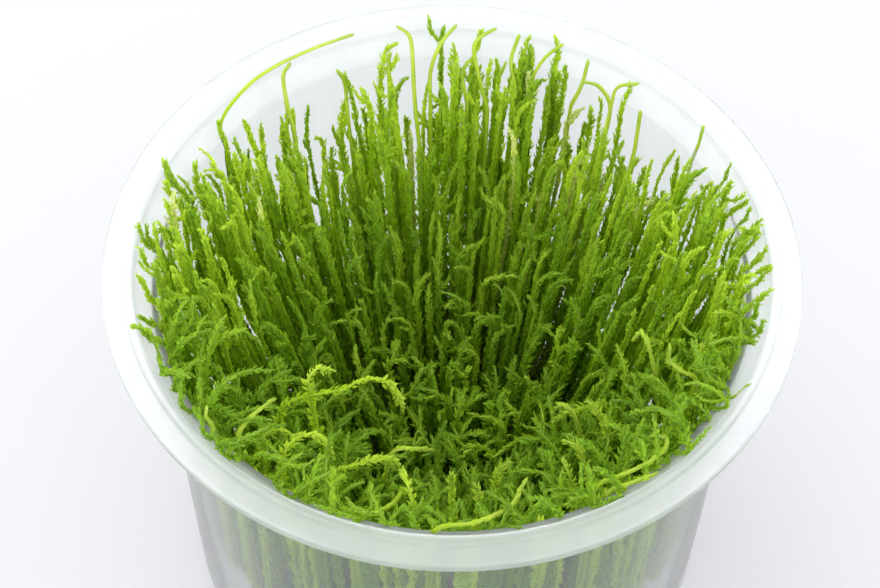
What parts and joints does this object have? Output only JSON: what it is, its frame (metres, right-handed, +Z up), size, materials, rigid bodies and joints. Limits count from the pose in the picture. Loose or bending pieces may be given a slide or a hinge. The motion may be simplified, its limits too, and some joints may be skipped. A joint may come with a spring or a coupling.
{
  "type": "moss clump in a culture cup",
  "caption": "Clump of live green aquarium moss standing in an open translucent culture cup with a wide lid flange, to set on a shelf or bench.",
  "frame": {"origin": "centre of the cup's flat underside", "axes": "+Z up through the mouth of the cup, +Y towards the back, where the moss stands tallest, -Y towards the front, where it is low"},
  "size_m": [0.101, 0.101, 0.0744],
  "materials": {
    "cup": "milky translucent moulded plastic, faint streaks",
    "moss": "soft leafy moss, dark green below and yellow-green at the tips"
  },
  "bodies": {
    "root": {"cup": "cup", "moss_plant_01": "moss", "moss_plant_02": "moss", "moss_plant_03": "moss", "moss_plant_04": "moss", "moss_plant_05": "moss", "moss_plant_06": "moss", "moss_plant_07": "moss", "moss_plant_08": "moss", "moss_plant_09": "moss", "moss_plant_10": "moss", "moss_plant_11": "moss", "moss_plant_12": "moss", "moss_plant_13": "moss", "moss_plant_14": "moss", "moss_plant_15": "moss", "moss_plant_16": "moss", "moss_plant_17": "moss", "moss_plant_18": "moss", "moss_plant_19": "moss", "moss_plant_20": "moss", "moss_plant_21": "moss", "moss_plant_22": "moss", "moss_plant_23": "moss", "moss_plant_24": "moss", "moss_plant_25": "moss", "moss_plant_26": "moss", "moss_plant_27": "moss", "moss_plant_28": "moss", "moss_plant_29": "moss", "moss_plant_30": "moss", "moss_plant_31": "moss", "moss_plant_32": "moss", "moss_plant_33": "moss", "moss_plant_34": "moss", "moss_plant_35": "moss", "moss_plant_36": "moss", "moss_plant_37": "moss", "moss_plant_38": "moss", "moss_plant_39": "moss", "moss_plant_40": "moss", "moss_plant_41": "moss", "moss_plant_42": "moss", "moss_plant_43": "moss", "moss_plant_44": "moss", "moss_plant_45": "moss", "moss_plant_46": "moss", "moss_plant_47": "moss", "moss_plant_48": "moss"}
  },
  "joints": []
}
